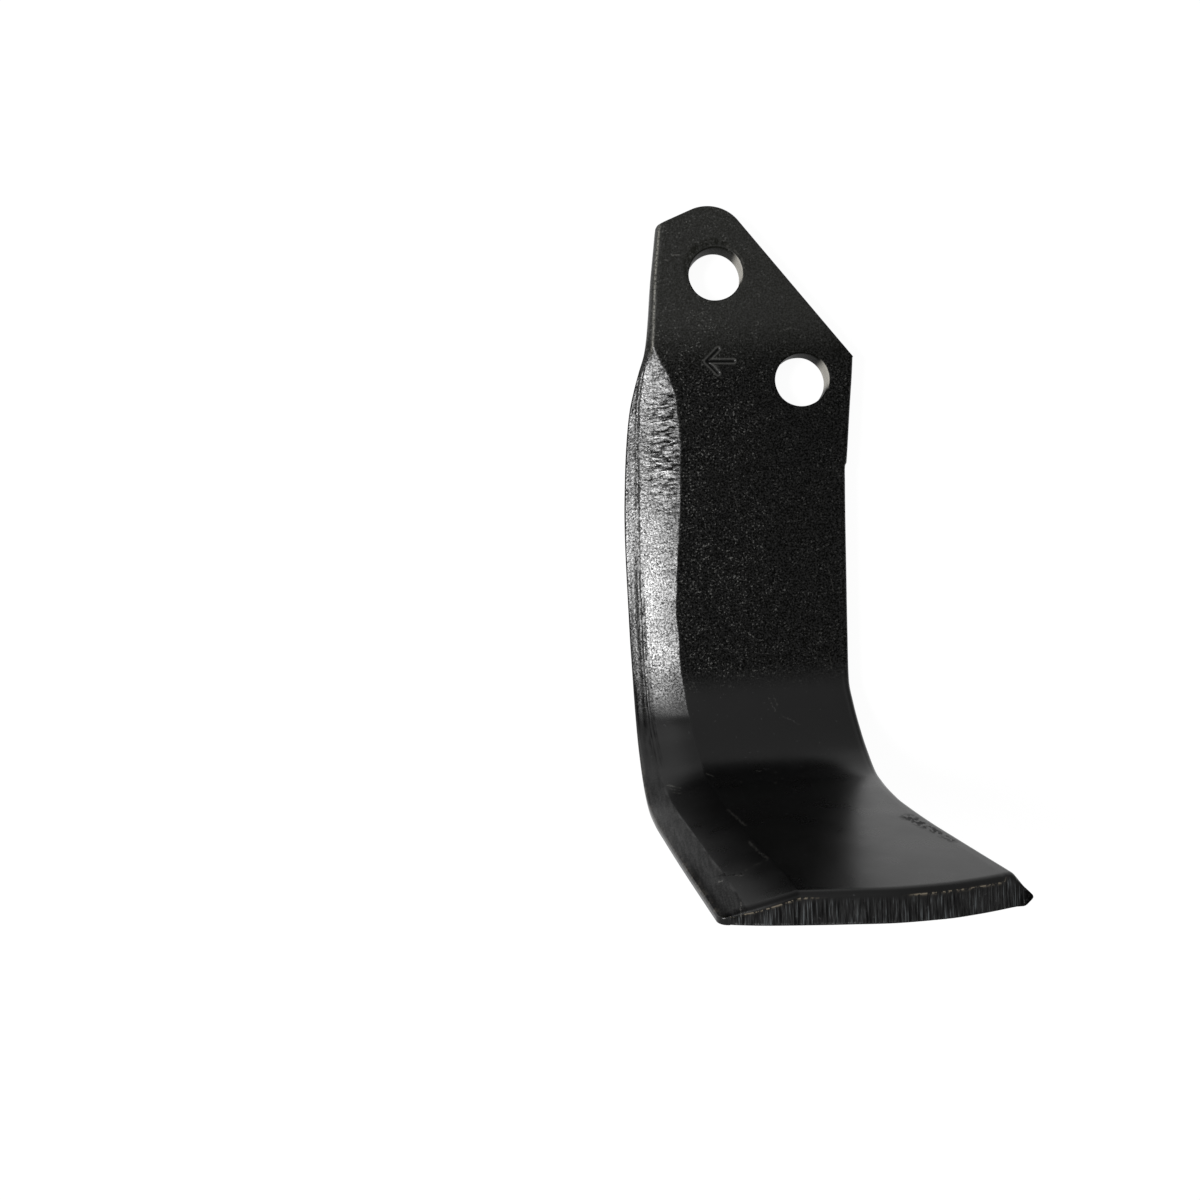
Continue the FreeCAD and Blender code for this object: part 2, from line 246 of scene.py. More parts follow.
def detail_w(a, b):
    """Small forged, pressed and cut detail of the inner face, added to base_w."""
    a0, a1, a2 = lead(b), fold(b), crest(b)
    d = 0.035 * noise(a / 15 + 3, b / 19, 31) + 0.018 * noise(a / 6.3, b / 7.1, 32)
    # the bend starts softly
    t = np.clip((b + 8.0) / 8.0, 0.0, 2.0)
    soft_b = 64.0 / MID / 2.0 * np.where(t < 1, t**3 / 6.0, t**3 / 6.0 - (t - 1.0) ** 2)
    d = d + np.clip(soft_b, 0, 0.4) * (1 - smooth(b, 10, 46))
    d = d + 0.075 * creases(a, b)[0]
    d = d - 0.13 * grooves(a, b)
    # outer facet: faint lengthwise drawing marks
    on_out = smooth(a - a0, 0.2, 0.8) * smooth(a1 - a, 0.3, 1.2)
    d = d + 0.02 * on_out * noise(a / 0.8, b / 9.0, 55) * smooth(b, -112, -96)
    # a faint ridge down the start of the bevel
    ra = np.interp(b, [-113, -86, -64], [-20.6, -22.2, -25.2])
    d = d + 0.05 * hump(a, ra, 0.6) * smooth(b, -113, -106) * (1 - smooth(b, -70, -60))
    # stamped mark
    near = (np.abs(a - STAMP_C[0]) < 8) & (np.abs(b - STAMP_C[1]) < 9)
    if np.any(near):
        q = np.full(np.shape(a), 9.0)
        q[near] = np.minimum.reduce([seg_dist(a[near], b[near], s) for s in STAMP])
        d = d - 0.34 * (1 - smooth(q, 0.12, 0.55)) + 0.06 * hump(q, 0.85, 0.28)
    # punched hole rims: rolled in at the rim, a little raised beyond it
    for hx, hy in HOLES:
        ha, hb = to_flat(hx, hy)
        rr, th = np.hypot(a - ha, b - hb), np.arctan2(b - hb, a - ha)
        rough = 0.5 + 0.5 * noise(th * 6.0, rr / 0.8, 61)
        d = d + 0.05 * hump(rr, 10.2, 0.8) * rough - 0.10 * hump(rr, 8.9, 0.6)
    return d


def roll(a, b):
    """How far the sheared end pulls the inner face down beside the cut."""
    d = end_b(a) - b
    t = np.clip((1.75 - d) / 1.75, 0.0, 1.0)
    return 1.0 - np.sqrt(1.0 - t * t * 0.999)


# ------------------------------------------------------------- mesh collection
class Mesh:
    def __init__(self):
        self.f, self.kind, self.n, self.faces = [], [], 0, []

    def add(self, pts, kind):
        """Adds points (a, b, w); kind 0 inner face, 1 outer face, 2 wall, 3 end."""
        pts = np.asarray(pts, float)
        self.f.append(pts)
        self.kind.append(np.full(len(pts), kind))
        self.n += len(pts)
        return np.arange(self.n - len(pts), self.n)

    def quads(self, idx, keep=None):
        """Quads over a grid of vertex numbers."""
        q = np.stack([idx[:-1, :-1], idx[:-1, 1:], idx[1:, 1:], idx[1:, :-1]], -1)
        if keep is not None:
            q = q[keep]
        self.faces.extend(q.reshape(-1, 4).tolist())


def fill(xy, edges, keep):
    """Triangles over the points that hold these edges; keep picks by centroid."""
    res = delaunay_2d_cdt([Vector((float(x), float(y))) for x, y in xy],
                          [tuple(map(int, e)) for e in edges], [], 0, 1e-9, True)
    names = [o[0] if o else -1 for o in res[3]]
    tri = np.array([[names[i] for i in t] for t in res[2]])
    if tri.min() < 0:
        raise RuntimeError("edges of the blade's outline cross")
    p0, p1, p2 = xy[tri[:, 0]], xy[tri[:, 1]], xy[tri[:, 2]]
    area = 0.5 * np.abs((p1 - p0)[:, 0] * (p2 - p0)[:, 1] - (p1 - p0)[:, 1] * (p2 - p0)[:, 0])
    return tri[keep(xy[tri].mean(1)) & (area > 1e-6)]


def inside(c, poly):
    """Which of the points c lie inside a closed polygon."""
    x, y = c[:, 0], c[:, 1]
    hit = np.zeros(len(c), bool)
    for (x0, y0), (x1, y1) in zip(poly, np.roll(poly, -1, 0)):
        if y0 == y1:
            continue
        cross = ((y0 > y) != (y1 > y)) & (x < (x1 - x0) * (y - y0) / (y1 - y0) + x0)
        hit ^= cross
    return hit


mesh = Mesh()

# ------------------------------------------------------------------------ rows
B_END = float(max(p[1] for p in end_line))
rows = np.concatenate([
    np.arange(-103.0, -157.0, -0.9)[::-1],
    np.arange(-103.0 + 0.36, -70.0, 0.36),
    np.arange(-70.0, -0.3, 0.6),
    np.linspace(0.0, 48.0, 66),
    np.arange(48.95, 116.0, 0.95),
    B_END - np.array([7.9, 7.0, 6.1, 5.3, 4.5, 3.8, 3.2, 2.65, 2.2, 1.8, 1.45, 1.15, 0.9,
                      0.68, 0.48, 0.3, 0.14, 0.0])])
NR = len(rows)


def warp(a, bk):
    """Near its end the rows follow the curve of the cut."""
    t = np.clip((bk - 66.0) / (B_END - 66.0), 0.0, 1.0) ** 2
    return bk + (end_b(a) - B_END) * t


def on_row(fn, bk, n=4):
    """Where a line a = fn(b) meets the rows."""
    a = fn(bk)
    for _ in range(n):
        a = fn(warp(a, bk))
    return a


def lead_cut(b):
    """The leading edge, with the rounded corner at the end of the wing."""
    a = lead(b)
    d = np.clip(end_b(a) - b, 0.0, END_R)
    return a + END_R - np.sqrt(np.maximum(END_R**2 - (END_R - d) ** 2, 0.0))


I_LEAD, I_CUT, I_BACK = 0.5, 0.6, 2.0
NP = 20

# columns of the inner face, between the leading edge and the back edge
c0 = on_row(lead_cut, rows) + I_LEAD
c1 = np.maximum(on_row(fold, rows), c0 + 1.6)
c2 = on_row(crest, rows)
soft = 10.5
c2 = np.maximum(c2, c0 + soft)
c3 = on_row(back, rows) - I_BACK
u1 = np.array([0, 0.2, 0.4, 0.58, 0.72, 0.82, 0.90, 0.955])
s2 = np.concatenate([[0, 0.018, 0.036, 0.056, 0.078, 0.102, 0.128, 0.158, 0.19],
                     np.linspace(0.225, 0.93, 21), [0.95, 0.968, 0.985]])
s3 = np.concatenate([[0, 0.006, 0.014, 0.025], np.linspace(0.038, 1.0, 60)])
cols = np.concatenate([c0[:, None] + (c1 - c0)[:, None] * u1,
                       c1[:, None] + (c2 - c1)[:, None] * s2,
                       c2[:, None] + (c3 - c2)[:, None] * s3], 1)
NC = cols.shape[1]
grid_b = warp(cols, rows[:, None])

# --------------------------------------------------- outline of the bolt end
tcx, tcy, tr = -2.58, 8.82, 13.0
u, v = math.radians(24.2), math.radians(-49.8)
t1 = np.array([tcx - tr * math.sin(u), tcy + tr * math.cos(u)])
t2 = np.array([tcx + tr * math.sin(-v), tcy + tr * math.cos(v)])
cut_dir = np.array([math.cos(u), math.sin(u)])
diag_dir = np.array([math.cos(v), math.sin(v)])


def cross_edge(p, direction, fn, reach):
    """Where a straight cut meets the edge a = fn(b)."""
    s = np.linspace(0, reach, 4001)
    x, y = p[0] + direction[0] * s, p[1] + direction[1] * s
    a, b = to_flat(x, y)
    i = int(np.argmin(np.abs(a - fn(b))))
    return np.array([x[i], y[i]]), float(b[i])


tip, tip_b = cross_edge(t1, -cut_dir, lead, 40.0)
heel, heel_b = cross_edge(t2, diag_dir, back, 80.0)


def edge_point(fn, b):
    a = float(fn(b))
    return np.array([PX + EX * a + GX * b, PY + EY * a + GY * b])


def corner(p, d_in, d_out, r):
    """The left normals of the two directions and the angle between them."""
    n_in = np.array([-d_in[1], d_in[0]])
    n_out = np.array([-d_out[1], d_out[0]])
    phi = math.acos(float(np.clip(d_in @ d_out, -1, 1)))
    return n_in, n_out, phi


# leading edge upwards, then clockwise round the bolt end (outward normal on the left)
i_tip = int(np.argmin(np.abs(rows - (tip_b + 0.85))))
i_heel = int(np.argmin(np.abs(rows - (heel_b + 0.40))))
p_a1 = edge_point(lead, rows[i_tip])
p_b2 = edge_point(back, rows[i_heel])


def rounded(p, q_on, other_dir, n):
    """Points and outward normals of the arc that leaves an edge at q_on and joins
    the straight cut that runs from p along other_dir."""
    t_len = float(np.linalg.norm(q_on - p))
    e_dir = (p - q_on) / t_len                 # along the edge towards the corner
    q_cut = p + other_dir * t_len
    phi = math.acos(float(np.clip(e_dir @ other_dir, -1, 1)))
    r = t_len / math.tan(phi / 2)
    left = np.array([-e_dir[1], e_dir[0]])
    side = 1.0 if left @ other_dir < 0 else -1.0   # side of the outward normal
    n0 = left * side
    centre = q_on - n0 * r
    a_0 = math.atan2(n0[1], n0[0])
    n1 = (q_cut - centre) / r
    a_1 = math.atan2(n1[1], n1[0])
    da = (a_1 - a_0 + math.pi) % (2 * math.pi) - math.pi
    th = a_0 + da * np.linspace(0, 1, n)
    nn = np.stack([np.cos(th), np.sin(th)], 1)
    return centre + r * nn, nn, centre, r, q_cut


arc_a, nrm_a, cen_a, rad_a, cut_a = rounded(tip, p_a1, cut_dir, 9)
arc_b, nrm_b, cen_b, rad_b, cut_b = rounded(heel, p_b2, -diag_dir, 8)
arc_b, nrm_b = arc_b[::-1], nrm_b[::-1]           # from the diagonal to the back edge

STEP = 0.62


def line_pts(p, q):
    n = max(2, int(round(np.linalg.norm(q - p) / STEP)))
    t = np.arange(1, n)[:, None] / n
    return p + (q - p) * t


n_cut = np.array([-math.sin(u), math.cos(u)])
n_diag = np.array([-math.sin(v), math.cos(v)])
th = np.linspace(math.pi / 2 + u, math.pi / 2 + v, int(tr * (u - v) / STEP) + 1)
arc_t = np.stack([tcx + tr * np.cos(th), tcy + tr * np.sin(th)], 1)
nrm_t = np.stack([np.cos(th), np.sin(th)], 1)
l1, l2 = line_pts(cut_a, t1), line_pts(t2, cut_b)

top_xy = np.concatenate([arc_a[1:], l1, arc_t, l2, arc_b[:-1]])
top_nn = np.concatenate([nrm_a[1:], np.tile(n_cut, (len(l1), 1)), nrm_t,
                         np.tile(n_diag, (len(l2), 1)), nrm_b[:-1]])
NT = len(top_xy)
k_a, k_b = len(arc_a) - 1, NT - (len(arc_b) - 1)  # first after the tip arc, first of the heel arc

# inset vectors: from a point of the outline to the first ring on the face
top_in = -top_nn * I_CUT
lead_share = np.zeros(NT)
lead_share[:k_a] = 1 - np.linspace(0, 1, k_a + 1)[1:]
top_in[:k_a] = -top_nn[:k_a] * (I_LEAD + (I_CUT - I_LEAD) * (1 - lead_share[:k_a]))[:, None]
r_in = 0.3
n_back = nrm_b[-1]
vv = np.linalg.solve(np.array([n_diag, n_back]),
                     np.array([-(I_CUT + r_in - rad_b), -(I_BACK + r_in - rad_b)]))
cen_in = cen_b + vv
back_share = np.zeros(NT)
back_share[k_b:] = np.linspace(0, 1, NT - k_b + 1)[:-1]
top_in[k_b:] = (cen_in + r_in * top_nn[k_b:]) - top_xy[k_b:]
t_diag = diag_dir
shift = float(vv @ t_diag)
dist = np.linalg.norm(l2 - cut_b, axis=1)
decay = np.clip(1 - dist / 7.0, 0, 1)
top_in[k_b - len(l2):k_b] += t_diag * (shift * decay)[:, None]
t_back = (edge_point(back, rows[i_heel] + 1) - p_b2)
t_back /= np.linalg.norm(t_back)
shift_back = float(vv @ t_back)


def vec_flat(d):
    """A direction in x, y as a direction in a, b."""
    return np.stack([d[:, 0] * EX + d[:, 1] * EY, d[:, 0] * GX + d[:, 1] * GY], 1)


# whole outline: leading edge from the end of the wing up, bolt end, back edge down
lead_rows = np.arange(NR - 1, i_tip - 1, -1)
back_rows = np.arange(i_heel, NR)
la = on_row(lead_cut, rows)[lead_rows]
lb = warp(la, rows[lead_rows])
ba = on_row(back, rows)[back_rows]
bb = warp(ba, rows[back_rows])
ta, tb = to_flat(top_xy[:, 0], top_xy[:, 1])
out_ab = np.concatenate([np.stack([la, lb], 1), np.stack([ta, tb], 1), np.stack([ba, bb], 1)])
in_lead = np.stack([np.full(len(la), I_LEAD), np.zeros(len(la))], 1)
bd = rows[back_rows] - rows[i_heel]
in_back = np.stack([np.full(len(ba), -I_BACK), shift_back * np.clip(1 - bd / 7.0, 0, 1)], 1)
out_in = np.concatenate([in_lead, vec_flat(top_in), in_back])
share_back = np.concatenate([np.zeros(len(la)), back_share, np.ones(len(ba))])
share_lead = np.concatenate([np.ones(len(la)), lead_share, np.zeros(len(ba))])
NO = len(out_ab)


def fillet(p, c, q, r, n):
    """n points of the arc of radius r that rounds the corner c between p and q."""
    e0, e1 = p - c, q - c
    l0, l1_ = np.linalg.norm(e0), np.linalg.norm(e1)
    e0, e1 = e0 / l0, e1 / l1_
    phi = math.pi - math.acos(float(np.clip(e0 @ e1, -1, 1)))
    t = min(r * math.tan(phi / 2), 0.98 * l0, 0.98 * l1_)
    a, b_ = c + e0 * t, c + e1 * t
    wgt = math.cos(phi / 2)
    s = np.linspace(0, 1, n)[:, None]
    num = (1 - s) ** 2 * a + 2 * s * (1 - s) * wgt * c + s**2 * b_
    return num / ((1 - s) ** 2 + 2 * s * (1 - s) * wgt + s**2)


def cut_profile(w_edge, w_ring, inset, t_top, t_low):
    """Plain wall from the inner face to the outer face, as (f, w): f is 1 on the
    first ring of the face and 0 on the outline."""
    ring, edge_ = np.array([-inset, w_ring]), np.array([0.0, w_edge])
    low = np.array([0.0, -HALF])
    slope_dir = ring - edge_
    slope_dir = slope_dir / np.linalg.norm(slope_dir)
    t = min(t_top, 0.8 * inset / max(abs(slope_dir[0]), 1e-6) if abs(slope_dir[0]) > 0.1 else t_top)
    p0, p2 = edge_ + slope_dir * t, edge_ + np.array([0.0, -t])
    s = np.linspace(0, 1, 6)[:, None]
    bez = (1 - s) ** 2 * p0 + 2 * s * (1 - s) * 0.8 * edge_ + s**2 * p2
    bez /= ((1 - s) ** 2 + 2 * s * (1 - s) * 0.8 + s**2)
    q0, q2 = low + np.array([0.0, t_low]), low + np.array([-t_low, 0.0])
    s = np.linspace(0, 1, 5)[:, None]
    bez2 = (1 - s) ** 2 * q0 + 2 * s * (1 - s) * 0.75 * low + s**2 * q2
    bez2 /= ((1 - s) ** 2 + 2 * s * (1 - s) * 0.75 + s**2)
    wall = p2 + (q0 - p2) * (np.arange(1, 8)[:, None] / 8)
    pts = np.concatenate([ring[None], bez, wall, bez2, [[-inset, -HALF]]])
    pts[:, 0] /= -inset
    return pts


def back_profile(n, k):
    a = np.array([-I_BACK, HALF]); c = np.array([0.0, HALF]); m = np.array([n, NOSE_W])
    o = np.array([k, -HALF]); z = np.array([k - I_BACK, -HALF])
    f1 = fillet(a, c, m, 1.5, 6)
    f2 = fillet(c, m, o, 0.9, 3) if n > 0.02 else m + np.array([[0, 0.4], [0, 0], [0, -0.4]])
    f3 = fillet(m, o, z, 1.5, 5)
    seg = f1[-1] + (f2[0] - f1[-1]) * (np.arange(1, 4)[:, None] / 4)
    seg2 = 0.5 * (f2[-1] + f3[0])[None]
    pts = np.concatenate([a[None], f1, seg, f2, seg2, f3, z[None]])
    pts[:, 0] /= -I_BACK
    return pts


ring_ab = out_ab + out_in
w_edge = base_w(out_ab[:, 0], out_ab[:, 1])
w_ring = base_w(ring_ab[:, 0], ring_ab[:, 1])
ring = np.zeros((NO, NP, 3))
for k in range(NO):
    inset = float(np.hypot(*out_in[k])) if share_back[k] < 1 else I_BACK
    inset = max(0.35, min(inset, 1.0)) if share_back[k] < 1 else inset
    prof = 0.0
    if share_back[k] < 1:
        top_t = 0.38 * share_lead[k] + 0.32 * (1 - share_lead[k])
        prof = (1 - share_back[k]) * cut_profile(w_edge[k], w_ring[k], inset, top_t, 0.3)
    if share_back[k] > 0:
        b_ = out_ab[k, 1]
        prof = prof + share_back[k] * back_profile(float(nose(b_)), float(outer_a(b_)))
    ring[k, :, :2] = out_ab[k] + out_in[k] * prof[:, :1]
    ring[k, :, 2] = prof[:, 1]

kinds = np.full((NO, NP), 2)
ring_idx = mesh.add(ring.reshape(-1, 3), 2).reshape(NO, NP)
mesh.kind[-1] = np.where(np.arange(NP)[None, :].repeat(NO, 0).reshape(-1) == 0, 0,
                         np.where(np.arange(NP)[None, :].repeat(NO, 0).reshape(-1) == NP - 1, 1, 2))
mesh.quads(ring_idx)

k_lead = {int(r): int(i) for i, r in enumerate(lead_rows)}                       # row -> outline point
k_back = {int(r): int(len(la) + NT + i) for i, r in enumerate(back_rows)}

# ------------------------------------------------------------------ hole walls
hole_flat = [to_flat(x, y) for x, y in HOLES]
HN = 112
hole_top, hole_low = [], []
for h, (ha, hb) in enumerate(hole_flat):
    th = np.arange(HN) * 2 * math.pi / HN
    lip = 0.12 * noise(np.cos(th) * 3 + 5, np.sin(th) * 3 + 5, 71 + h)
    prof = [(0.95, HALF), (0.50, HALF - 0.03), (0.22, HALF - 0.14), (0.07, HALF - 0.36), (0.0, HALF - 0.8),
            (0.0, 2.0), (0.0, 0.8), (0.02, -0.6), (0.05, -1.8), (0.07, -2.9), (0.10, -3.65), (0.22, -3.9),
            (0.42, -HALF), (0.95, -HALF)]
    pts = np.zeros((HN, len(prof), 3))
    for j, (dr, w) in enumerate(prof):
        r = HOLE_R + dr + (lip * (1 - abs(w) / HALF * 0.4) * 0.5 if 0 < j < len(prof) - 1 else 0)
        pts[:, j] = np.stack([ha + r * np.cos(th), hb + r * np.sin(th), np.full(HN, w)], 1)
    idx = mesh.add(pts.reshape(-1, 3), 2).reshape(HN, -1)
    kk = np.tile(np.arange(len(prof)), HN)
    mesh.kind[-1] = np.where(kk == 0, 0, np.where(kk == len(prof) - 1, 1, 2))
    mesh.quads(np.concatenate([idx, idx[:1]]))
    hole_top.append(idx[:, 0]); hole_low.append(idx[:, -1])


def face_fill(col_a, kind, ring_j, holes, clear, extra=None, boxes=()):
    """Covers the inner or outer face: a grid where it fits, triangles along the
    outline of the bolt end and round the holes."""
    bgrid = warp(col_a, rows[:, None])
    nr, nc = col_a.shape
    ring_pts = ring[:, ring_j, :2]
    i_s = int(np.searchsorted(rows, -84.0))
    i_back_ok = int(np.searchsorted(rows, rows[i_heel] + 7.3))
    idx = np.full((nr, nc), -1)
    ok = np.zeros((nr, nc), bool)
    ok[i_s:] = True
    # rows of the bolt end: keep the points that lie well inside
    sub_a, sub_b = col_a[:i_s], bgrid[:i_s]
    poly_k = np.arange(k_lead[i_s], k_back[i_s] + 1)
    poly = ring_pts[poly_k]
    c = np.stack([sub_a.ravel(), sub_b.ravel()], 1)
    good = inside(c, poly)
    x, y = c[:, 0], c[:, 1]
    path = [tuple(p) for p in ring_pts[k_lead[i_tip]:k_back[min(i_back_ok, nr - 1)] + 1][::2]]
    good &= seg_dist(x, y, path) > clear
    for ha, hb in hole_flat:
        good &= np.hypot(x - ha, y - hb) > HOLE_R + 0.95 + clear
    for a0, a1_, b0, b1 in boxes:
        good &= ~((x > a0) & (x < a1_) & (y > b0) & (y < b1))
    ok[:i_s] = good.reshape(sub_a.shape)
    ok[:, 0] = np.arange(nr) >= i_tip
    ok[:i_s, nc - 1] = np.arange(i_s) >= i_back_ok
    cell = ok[:-1, :-1] & ok[:-1, 1:] & ok[1:, :-1] & ok[1:, 1:]
    used = np.zeros((nr, nc), bool)
    used[:-1, :-1] |= cell; used[:-1, 1:] |= cell; used[1:, :-1] |= cell; used[1:, 1:] |= cell
    inner = used.copy(); inner[:, 0] = False; inner[:, -1] = False
    rr, cc = np.nonzero(inner)
    idx[rr, cc] = mesh.add(np.stack([col_a[rr, cc], bgrid[rr, cc],
                                     np.zeros(len(rr))], 1), kind)
    for r in range(nr):
        if used[r, 0]:
            idx[r, 0] = ring_idx[k_lead[r], ring_j]
        if used[r, nc - 1]:
            idx[r, nc - 1] = ring_idx[k_back[r], ring_j]
    mesh.quads(idx, cell)
    # the edges that bound the kept cells in the bolt end, and the outline
    edges = set()

    def edge(i, j):
        edges.add((min(i, j), max(i, j)))
    cs = cell[:i_s]
    pad = np.pad(cs, ((1, 0), (1, 1)))
    for r, q in zip(*np.nonzero(cs)):
        if not pad[r, q + 1]:
            edge(idx[r, q], idx[r, q + 1])
        if r + 1 < i_s and not cs[r + 1, q]:
            edge(idx[r + 1, q], idx[r + 1, q + 1])
        if not pad[r + 1, q] and q > 0:
            edge(idx[r, q], idx[r + 1, q])
        if q < nc - 2 and not cs[r, q + 1]:
            edge(idx[r, q + 1], idx[r + 1, q + 1])
    for q in range(nc - 1):
        if not cell[i_s - 1, q]:
            edge(idx[i_s, q] if idx[i_s, q] >= 0 else -1, idx[i_s, q + 1])
    for k in range(k_lead[i_s], k_back[i_s]):
        edge(ring_idx[k, ring_j], ring_idx[k + 1, ring_j])
    for hole in holes:
        for i, j in zip(hole, np.roll(hole, -1)):
            edge(i, j)
    edges = [e for e in edges if e[0] >= 0]
    if extra is not None:
        e_idx = mesh.add(np.column_stack([extra, np.zeros(len(extra))]), kind)
    else:
        e_idx = np.zeros(0, int)
    flat_all = np.concatenate(mesh.f)
    ids = np.unique(np.concatenate([np.array(edges).ravel(), e_idx]))
    look = {int(g): n for n, g in enumerate(ids)}
    xy = flat_all[ids][:, :2]

    def keep(cen):
        k_ = inside(cen, poly)
        for hole in holes:
            k_ &= ~inside(cen, flat_all[hole][:, :2])
        k_ &= cen[:, 1] < rows[i_s]
        r = np.clip(np.searchsorted(rows, cen[:, 1]) - 1, 0, nr - 2)
        t = (cen[:, 1] - rows[r]) / (rows[r + 1] - rows[r])
        line = col_a[r] * (1 - t)[:, None] + col_a[r + 1] * t[:, None]
        q = (line < cen[:, :1]).sum(1) - 1
        inside_grid = (q >= 0) & (q < nc - 1) & (cen[:, 1] > rows[0])
        q = np.clip(q, 0, nc - 2)
        return k_ & ~(inside_grid & cell[r, q])
    tri = fill(xy, [(look[int(i)], look[int(j)]) for i, j in edges], keep)
    mesh.faces.extend(ids[tri].tolist())
    return idx


sa, sb = STAMP_C
gx, gy = np.meshgrid(np.arange(sa - 5.6, sa + 5.61, 0.27), np.arange(sb - 5.8, sb + 5.81, 0.27))
gx = gx + 0.135 * (np.arange(gx.shape[0]) % 2)[:, None]
fine = np.stack([gx.ravel(), gy.ravel()], 1)
top_idx = face_fill(cols, 0, 0, hole_top, 0.42, fine,
                    [(sa - 6.0, sa + 6.0, sb - 6.2, sb + 6.2)])

oc0 = on_row(lead_cut, rows) + I_LEAD
oc3 = on_row(lambda b: back(b) + outer_a(b), rows) - I_BACK
NB = 38
low_cols = oc0[:, None] + (oc3 - oc0)[:, None] * np.linspace(0, 1, NB)
low_idx = face_fill(low_cols, 1, NP - 1, hole_low, 0.9)

# ------------------------------------------------------------- end of the wing
loop = np.concatenate([top_idx[-1, :-1], ring_idx[k_back[NR - 1], :-1],
                       low_idx[-1, :0:-1], ring_idx[k_lead[NR - 1], :0:-1]])
flat_now = np.concatenate(mesh.f)
kind_now = np.concatenate(mesh.kind)
p = flat_now.copy()
is_top, is_low = kind_now == 0, kind_now == 1
p[is_top, 2] = base_w(p[is_top, 0], p[is_top, 1])
p[is_low, 2] = -HALF
ROLL = 1.45


def settle(q):
    """Pulls points beside the sheared end down, more towards the inner face."""
    thick = np.maximum(base_w(q[:, 0], q[:, 1]) + HALF, 0.5)
    share = np.clip((q[:, 2] + HALF) / thick, 0.0, 1.0) ** 2
    near = (q[:, 1] > 100)
    depth = np.minimum(ROLL, 0.30 * thick)
    q[:, 2] -= np.where(near, roll(q[:, 0], q[:, 1]) * depth * share, 0.0)
    return q


p = settle(p)
loop_aw = p[loop][:, [0, 2]]
gx, gy = np.meshgrid(np.arange(-19.5, 53, 0.21), np.arange(-3.75, 3.9, 0.62))
gx = gx + 0.105 * (np.arange(gx.shape[0]) % 2)[:, None]
cand = np.stack([gx.ravel(), gy.ravel()], 1)
cand = cand[inside(cand, loop_aw)]
path = [tuple(q) for q in np.concatenate([loop_aw, loop_aw[:1]])]
cand = cand[seg_dist(cand[:, 0], cand[:, 1], path) > 0.16]
cap = mesh.add(np.stack([cand[:, 0], end_b(cand[:, 0]), cand[:, 1]], 1), 3)
ids = np.concatenate([loop, cap])
xy = np.concatenate([loop_aw, cand])
nl = len(loop)
tri = fill(xy, [(i, (i + 1) % nl) for i in range(nl)], lambda c: inside(c, loop_aw))
mesh.faces.extend(ids[tri].tolist())

# ------------------------------------------------- heights and all the detail
F = np.concatenate(mesh.f)
K = np.concatenate(mesh.kind)
top, low, wall, end = K == 0, K == 1, K == 2, K == 3
F[top, 2] = base_w(F[top, 0], F[top, 1])
F[low, 2] = -HALF
ripple = np.zeros(len(F))
ripple[top] = detail_w(F[top, 0], F[top, 1])
# walls follow the detail of the inner face near it
wa, wb, ww = F[wall].T
lvl = smooth(ww, -1.0, 3.0) * smooth((base_w(wa, wb) - ww), 1.2, 0.0)
ripple[wall] = detail_w(wa, wb) * lvl
F[:, 2] += ripple
F = settle(F)
# outer face: very slightly hollow and uneven, never past the plane it rests on
ob, oa = F[low, 1], F[low, 0]
F[low, 2] += 0.05 * (1 + noise(oa / 17.0, ob / 21.0, 81)) * smooth(np.abs(oa - 5), 44, 30)
# sheared end: lengthwise striations and a torn lower part
ea, ew = F[end, 0], F[end, 2]
st = (noise(ea / 0.42 + 0.5 * noise(ew / 2.2, ea / 6.0, 92), ew / 4.5, 91)
      + 0.6 * noise(ea / 1.3, ew / 6.0, 93))
F[end, 1] -= 0.07 + 0.085 * st * smooth(ew, -4.2, -2.5)
F[end, 1] -= 0.10 * smooth(noise(ea / 3.0, ew / 2.0, 94), 0.3, 0.9)

xyz = bent(F)
xyz[:, 2] = np.maximum(xyz[:, 2], 0.0)
xyz *= 0.001

data = bpy.data.meshes.new("tiller_blade")
data.from_pydata(xyz.tolist(), [], mesh.faces)
data.update()
blade = bpy.data.objects.new("tiller_blade", data)
bpy.context.collection.objects.link(blade)

import bmesh
bm = bmesh.new()
bm.from_mesh(data)
loose = [vtx for vtx in bm.verts if not vtx.link_faces]
print("loose vertices", len(loose), "open edges", sum(1 for e in bm.edges if len(e.link_faces) != 2))
tag = bm.verts.layers.int.new("src")
for i, vtx in enumerate(bm.verts):
    vtx[tag] = i
bmesh.ops.delete(bm, geom=loose, context="VERTS")
bmesh.ops.recalc_face_normals(bm, faces=bm.faces)
vol = bm.calc_volume(signed=True)
if vol < 0:
    bmesh.ops.reverse_faces(bm, faces=bm.faces)
print("volume mm3", round(abs(vol) * 1e9, 1), "verts", len(bm.verts),
      "triangles", sum(len(f.verts) - 2 for f in bm.faces))
src = np.array([vtx[tag] for vtx in bm.verts])
bm.verts.layers.int.remove(tag)
bm.to_mesh(data)
bm.free()
for pl in data.polygons:
    pl.use_smooth = True

F, K = F[src], K[src]


def attribute(name, values):
    at = data.attributes.new(name, "FLOAT", "POINT")
    at.data.foreach_set("value", np.ascontiguousarray(values, dtype=np.float32))


at = data.attributes.new("flat", "FLOAT_VECTOR", "POINT")
at.data.foreach_set("vector", np.ascontiguousarray(F, dtype=np.float32).ravel())

a, b, w = F[:, 0], F[:, 1], F[:, 2]
is_in = (K == 0).astype(float)
on_bevel = is_in * smooth(crest(b) - a, -0.3, 0.5) * smooth(b, -112, -104)
attribute("bevel", on_bevel)
